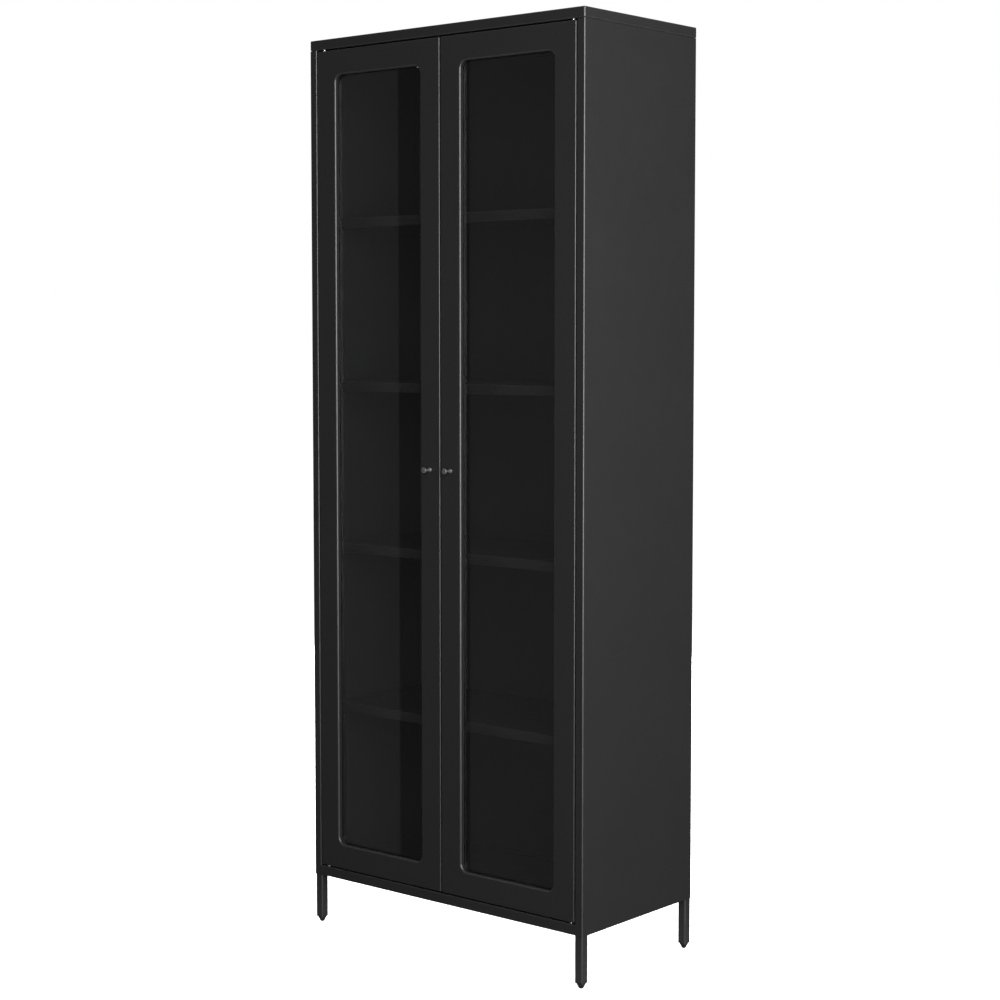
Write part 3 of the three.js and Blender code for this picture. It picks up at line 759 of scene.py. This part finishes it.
def door_skin(name, body, outline):
    """The folded front, whose window has a rolled edge."""
    outer, window = outline.outer, outline.window
    front, back = outline.lo.y, outline.hi.y
    rings = [outer(0, back, DOOR_CORNER), outer(0, front + DOOR_ROUND + SUPPORT, DOOR_CORNER)]
    for angle in quarter(FOLD):
        inset = DOOR_ROUND * (1 - math.cos(angle))
        rings.append(outer(inset, front + DOOR_ROUND * (1 - math.sin(angle)), DOOR_CORNER - inset))
    rings += [outer(DOOR_ROUND + SUPPORT, front, DOOR_CORNER - DOOR_ROUND), window(ROLL + SUPPORT, front)]
    for angle in quarter(8):
        rings.append(window(ROLL * (1 - math.sin(angle)), front + ROLL * (1 - math.cos(angle))))
    rings += [window(0, front + ROLL + SUPPORT), window(0, front + WINDOW_JAMB)]
    rings.append(window(DOOR_SHEET, front + WINDOW_JAMB))
    inner_roll = ROLL - DOOR_SHEET
    for angle in quarter(4):
        grow = DOOR_SHEET + inner_roll * (1 - math.cos(angle))
        rings.append(window(grow, front + ROLL - inner_roll * math.sin(angle)))
    rings.append(outer(DOOR_SHEET, front + DOOR_SHEET, DOOR_CORNER - DOOR_SHEET))
    rings.append(outer(DOOR_SHEET, back, DOOR_CORNER - DOOR_SHEET))
    piece(f"door_skin_{name}", Shape().loft(rings, closed=True), "powder_coat", body, f"door_frame_{name}")


def glazing_seal(name, body, outline):
    """A flat rubber seal with a round lip in the window."""
    lo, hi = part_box(f"door_gasket_{name}")
    outer_edge, lip, bulge = 7.5 * MM, 0.5 * MM, 0.4 * MM
    gap = 0.05 * MM
    depth = (hi.y - lo.y) / 2
    rings = [outline.window(outer_edge, lo.y + gap)]
    for k in range(7):
        angle = math.pi * k / 6
        rings.append(outline.window(lip - bulge * math.sin(angle), lo.y + depth * (1 - math.cos(angle))))
    rings.append(outline.window(outer_edge, hi.y - gap))
    shape = Shape().loft(rings, closed=True)
    piece(f"glazing_seal_{name}", shape, "rubber_seal", body, f"door_gasket_{name}")


def pane(name, body):
    """A sheet of glass with ground edges."""
    lo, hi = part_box(f"door_glass_{name}")
    arris, corner = 0.6 * MM, 3 * MM
    rings = []
    for inset, y in ((arris, lo.y), (0, lo.y + arris), (0, hi.y - arris), (arris, hi.y)):
        outline = rounded_rectangle(lo.x + inset, hi.x - inset, lo.z + inset, hi.z - inset, corner)
        rings.append([(x, y, z) for x, z in outline])
    piece(f"pane_{name}", Shape().loft(rings), "clear_glass", body, f"door_glass_{name}")


def inner_frame(name, body, outline):
    """The frame that closes the door's back and holds the glass against the seal."""
    outer, window = outline.outer, outline.window
    back = outline.hi.y
    glass_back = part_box(f"door_glass_{name}")[1].y
    plate = back - DOOR_SHEET
    edge, corner, lip_round, soft = 1.6 * MM, 2 * MM, 1.2 * MM, 0.3 * MM
    rings = [window(DOOR_SHEET, glass_back), window(0, glass_back)]
    for angle in quarter(4):
        rings.append(window(lip_round * (1 - math.cos(angle)), back - lip_round * (1 - math.sin(angle))))
    rings += [outer(edge + soft, back, corner), outer(edge, back - soft, corner), outer(edge, plate, corner)]
    rings.append(window(DOOR_SHEET + soft, plate))
    shape = Shape().loft(rings, closed=True)
    piece(f"inner_frame_{name}", shape, "powder_coat", body, f"glass_retainer_{name}")


def frame_screws(name, body, outline):
    """Six screws along each upright of the inner frame, and one in the middle of each end."""
    lo, hi = outline.lo, outline.hi
    margin = 25 * MM
    screws = Shape()
    across = (lo.x + 0.5 * FRAME_WIDTH, hi.x - 0.5 * FRAME_WIDTH)
    places = [(x, z) for x in across for z in spaced(lo.z + margin, hi.z - margin, 6)]
    places += [((lo.x + hi.x) / 2, z) for z in (lo.z + margin, hi.z - margin)]
    for x, z in places:
        socket_screw(screws, lambda a, b, out: (x + a, hi.y + out, z - b), 2.6 * MM, 0.5 * MM)
    piece(f"frame_screws_{name}", screws, "zinc_steel", body)


def knob(name, body):
    """A turned knob: a small foot, a narrow waist and a flat-faced head."""
    lo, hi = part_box(f"door_knob_{name}")
    x, z, door_face = (lo.x + hi.x) / 2, (lo.z + hi.z) / 2, hi.y
    length = hi.y - lo.y
    root, root_depth = 2.2 * MM, 0.4 * MM
    foot, neck, waist, head = 4.5 * MM, 3.4 * MM, 2.7 * MM, 5.25 * MM
    profile = filleted([
        (0, -root_depth), (root, -root_depth), (root, 0),
        (foot, 0, 0.25 * MM), (foot, 2.4 * MM, 0.5 * MM), (neck, 3.6 * MM, 1.5 * MM),
        (waist, 6 * MM, 4 * MM), (waist, 11 * MM, 5 * MM), (neck, 13.4 * MM, 4 * MM),
        (head, 16 * MM, 0.5 * MM), (head, length, 0.7 * MM), (0, length),
    ])
    shape = Shape().lathe(profile, lambda a, b, along: (x + a, door_face - along, z + b), 64)
    piece(f"knob_{name}", shape, "knob_black", body, f"door_knob_{name}", sharp=40)
    seat = door_face + DOOR_SHEET
    shape = Shape()
    socket_screw(shape, lambda a, b, out: (x + a, seat + out, z - b), 3.4 * MM, 2.3 * MM)
    piece(f"knob_bolt_{name}", shape, "zinc_steel", body, f"knob_screw_{name}")


def pivots(name, body, outline):
    """Headed pins through the cap and the floor, in flanged bushes in the door's edges."""
    pin, pin_head, head_height = 3 * MM, 5 * MM, 1.8 * MM
    bore, sleeve, flange = 3.2 * MM, 4.4 * MM, 5.5 * MM
    depth, thickness, gap = 14.8 * MM, 1 * MM, 0.02 * MM
    soft, softer = 0.25 * MM, 0.3 * MM
    section = (
        (bore, -depth), (bore, thickness - softer), (bore + soft, thickness), (flange - softer, thickness),
        (flange, thickness - soft), (flange, gap), (sleeve, gap), (sleeve, softer - depth),
        (sleeve - softer, -depth),
    )
    steps = 32
    for level, edge, sign in (("upper", outline.hi.z, 1), ("lower", outline.lo.z, -1)):
        lo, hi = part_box(f"pivot_pin_{level}_{name}")
        x, y = (lo.x + hi.x) / 2, (lo.y + hi.y) / 2
        head = hi.z if sign > 0 else lo.z
        length = hi.z - lo.z
        profile = filleted([
            (0, 0), (pin_head, 0, 0.5 * MM), (pin_head, head_height), (pin, head_height),
            (pin, length, 0.8 * MM), (0, length),
        ], 4)
        shape = Shape().lathe(profile, lambda a, b, along: (x + a, y - sign * b, head - sign * along), steps)
        piece(f"pin_{level}_{name}", shape, "zinc_steel", "case", f"pivot_pin_{level}_{name}")
        rings = []
        for radius, out in section:
            z = edge + sign * out
            rings.append([(x + radius * math.cos(t), y + radius * math.sin(t), z) for t in around(steps)])
        shape = Shape().loft(rings, closed=True)
        piece(f"bush_{level}_{name}", shape, "black_plastic", body, f"pivot_bush_{level}_{name}")


def catch(name):
    """A magnetic catch: a moulded body with screw ears, and two steel poles."""
    lo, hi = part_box(f"magnetic_catch_{name}")
    x = (lo.x + hi.x) / 2
    front = lo.y + 1.5 * MM
    half, pole_half, ear_screw = 14 * MM, 11 * MM, 18 * MM
    ear_inset, ear_bottom = 3 * MM, hi.z - 2.5 * MM
    pole_length, pole_thickness = 4 * MM, 2 * MM

    moulding = Shape()
    rounded_box(moulding, Vector((x - half, front, lo.z)), Vector((x + half, hi.y, hi.z)), 0.8 * MM, 1.4 * MM)
    ears_lo = Vector((lo.x, front + ear_inset, ear_bottom))
    ears_hi = Vector((hi.x, hi.y - ear_inset, hi.z))
    rounded_box(moulding, ears_lo, ears_hi, 0.5 * MM, 3.5 * MM)
    piece(f"catch_body_{name}", moulding, "black_plastic", "case", f"magnetic_catch_{name}")

    steel = Shape()
    for drop in (4 * MM, 9 * MM):
        rounded_box(steel, Vector((x - pole_half, lo.y, hi.z - drop - pole_thickness)),
                    Vector((x + pole_half, front + pole_length, hi.z - drop)), 0.2 * MM, 0.6 * MM, 2)
    for centre in (x - ear_screw, x + ear_screw):
        socket_screw(steel, lambda a, b, out: (centre + a, (front + hi.y) / 2 - b, ear_bottom - out),
                     2.2 * MM, 1.2 * MM)
    piece(f"catch_steel_{name}", steel, "zinc_steel", "case", f"magnetic_catch_{name}")


top_panel()
bottom_panel()
back_panel()
for shelf_index in SHELVES:
    shelf(shelf_index)
for side_name, side_sign in SIDES:
    side_panel(side_name, side_sign)
    clip_rails(side_name, side_sign)
    for end_name, end_sign in ENDS:
        leg(end_name, end_sign, side_name)
    catch(side_name)
    door(side_name)
for side_name, _ in SIDES:
    for end_name, _ in ENDS:
        for shelf_index in SHELVES:
            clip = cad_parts[f"shelf_clip_{shelf_index}_{end_name}_{side_name}"]
            for material_slot in clip.material_slots:
                material_slot.material = PAINT


# ---- Stage ----
AMBIENT = 0.055                  # how bright the backdrop is as a light


def floor():
    """A pale seamless floor, plain to the eye and left out of the case's own reflections."""
    mesh = bpy.data.meshes.new("floor")
    reach = 60
    corners = [(reach * x, reach * y, 0) for x, y in ((-1, -1), (1, -1), (1, 1), (-1, 1))]
    mesh.from_pydata(corners, [], [(0, 1, 2, 3)])
    n = Material("floor_paper")
    n.shader.inputs["Base Color"].default_value = (0.8, 0.8, 0.8, 1)
    n.set(Roughness=0.9, Specular_IOR_Level=0.1)
    n.shader.inputs["Emission Color"].default_value = (1, 1, 1, 1)
    length = n.add("ShaderNodeVectorMath", operation="LENGTH")
    n.link(n.place, length.inputs[0])
    n.link(n.spread(length.outputs["Value"], 0.82, 1.0, 0.5, 3.0), n.shader.inputs["Emission Strength"])
    mesh.materials.append(n.material)
    made = bpy.data.objects.new("floor", mesh)
    bpy.context.scene.collection.objects.link(made)
    made.visible_glossy = False
    made.visible_diffuse = False
    made.visible_transmission = False


def backdrop():
    """White where it is seen directly or through the panes, and dim as a light."""
    world = bpy.data.worlds.new("studio")
    bpy.context.scene.world = world
    world.use_nodes = True
    n = Nodes(world.node_tree)
    n.tree.nodes.clear()

    def background(level):
        node = n.add("ShaderNodeBackground")
        node.inputs["Color"].default_value = (1, 1, 1, 1)
        node.inputs["Strength"].default_value = level
        return node.outputs["Background"]

    path = n.add("ShaderNodeLightPath").outputs
    bounces = n.math("ADD", path["Diffuse Depth"], path["Glossy Depth"])
    through = n.math("MULTIPLY", path["Is Transmission Ray"], n.math("LESS_THAN", bounces, 0.5))
    mix = n.add("ShaderNodeMixShader")
    n.link(n.math("MAXIMUM", path["Is Camera Ray"], through), mix.inputs["Fac"])
    n.link(background(AMBIENT), mix.inputs[1])
    n.link(background(1.0), mix.inputs[2])
    n.link(mix.outputs["Shader"], n.add("ShaderNodeOutputWorld").inputs["Surface"])


def panes_left_out():
    """A collection that keeps a lamp's light off the panes, so that they don't mirror it."""
    panes = bpy.data.collections.new("panes_left_out")
    for name, _ in SIDES:
        panes.objects.link(bpy.data.objects[f"pane_{name}"])
    for entry in panes.collection_objects:
        entry.light_linking.link_state = "EXCLUDE"
    return panes


def softbox(name, centre, aim, width, height, level, receivers=None):
    """A rectangular lamp whose face has the given brightness. Receivers limit what it lights."""
    lamp = bpy.data.lights.new(name, "AREA")
    lamp.shape = "RECTANGLE"
    lamp.size, lamp.size_y = width, height
    lamp.energy = level * width * height * math.pi
    made = bpy.data.objects.new(name, lamp)
    made.location = centre
    made.rotation_euler = (Vector(aim) - Vector(centre)).to_track_quat("-Z", "Y").to_euler()
    bpy.context.scene.collection.objects.link(made)
    made.visible_camera = False
    made.light_linking.receiver_collection = receivers
    return made


floor()
backdrop()
off_panes = panes_left_out()
softbox("key_right", (2.7, -0.4, 1.6), (0.2, 0.0, 1.0), 2.2, 3.0, 5.8, off_panes)
softbox("key_front", (2.5, -2.3, 1.6), (0.2, 0.0, 1.0), 1.5, 3.0, 12.0, off_panes)
softbox("card_left", (-2.471, -1.286, 1.1), (-0.206, -0.089, 1.1), 2.0, 4.4, AMBIENT + 0.012)
softbox("card_front", (-1.146, -2.654, 1.1), (0.2, -0.1, 1.1), 1.5, 4.4, AMBIENT + 0.005)
for fill in (
    softbox("fill_left", (-3.2, 1.3, 1.5), (0.0, 0.2, 0.9), 2.2, 2.8, 14.0, off_panes),
    softbox("fill_behind", (-1.3, 3.2, 1.5), (-0.1, 0.2, 0.9), 3.0, 2.8, 12.0, off_panes),
    softbox("fill_top", (0.0, 0.6, 4.2), (0.0, 0.0, 1.0), 2.4, 2.4, 2.0, off_panes),
):
    fill.visible_glossy = False

camera_data = bpy.data.cameras.new("camera")
camera_data.lens = 73.725
camera_data.shift_y = -0.025
camera = bpy.data.objects.new("camera", camera_data)
camera.location = (2.6369, -3.0997, 1.2132)
camera.rotation_euler = (math.radians(90 - 3.946), 0, math.radians(40.269))
bpy.context.scene.collection.objects.link(camera)
bpy.context.scene.camera = camera
bpy.context.scene.view_settings.view_transform = "Standard"
bpy.context.scene.view_settings.look = "None"
